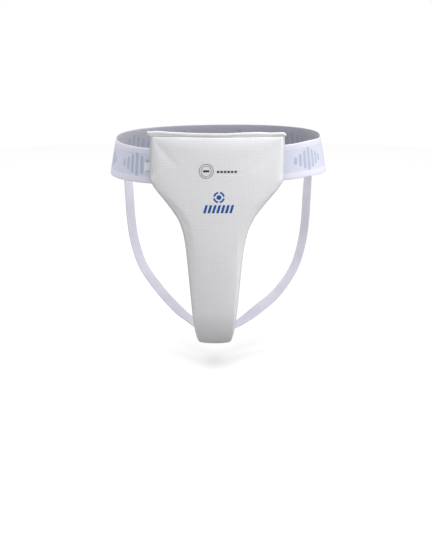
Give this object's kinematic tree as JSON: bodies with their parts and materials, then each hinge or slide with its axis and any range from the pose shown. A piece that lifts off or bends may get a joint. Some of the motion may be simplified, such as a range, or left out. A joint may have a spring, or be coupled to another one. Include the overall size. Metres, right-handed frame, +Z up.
{
  "type": "groin protector",
  "caption": "Padded shield narrowing to a curved tongue, on an elastic waistband, with two elastic straps from the tongue's end to the back of the waistband.",
  "frame": {"origin": "centre of the waist opening, half way up the waistband", "axes": "+X to the right seen from the front, +Y from the shield to the wearer's back, +Z up"},
  "size_m": [0.3032, 0.2313, 0.312],
  "materials": {
    "cover_leather": "satin, embossed with a fine grid of dots",
    "outer_foam": "matte closed-cell foam",
    "plate": "satin polyethylene",
    "comfort_foam": "soft open-cell foam",
    "lining": "matte knitted lining",
    "binding": "satin binding strip",
    "waist_elastic": "ribbed woven elastic with a tone-on-tone motif",
    "strap_elastic": "narrow woven elastic",
    "thread": "white sewing thread",
    "label": "blank woven label",
    "blue_print": null,
    "black_print": null
  },
  "bodies": {
    "root": {"front_cover": "cover_leather", "outer_foam": "outer_foam", "protective_plate": "plate", "comfort_foam": "comfort_foam", "back_lining": "lining", "top_binding": "binding", "top_seam_thread": "thread", "back_seam_thread": "thread", "tongue_end_patch": "lining", "tongue_patch_thread": "thread", "care_label": "label", "waistband_elastic": "waist_elastic", "waistband_stitching_right": "thread", "waistband_stitching_left": "thread", "leg_strap_right": "strap_elastic", "leg_strap_left": "strap_elastic", "leg_strap_stitching_right": "thread", "leg_strap_stitching_left": "thread"}
  },
  "joints": []
}
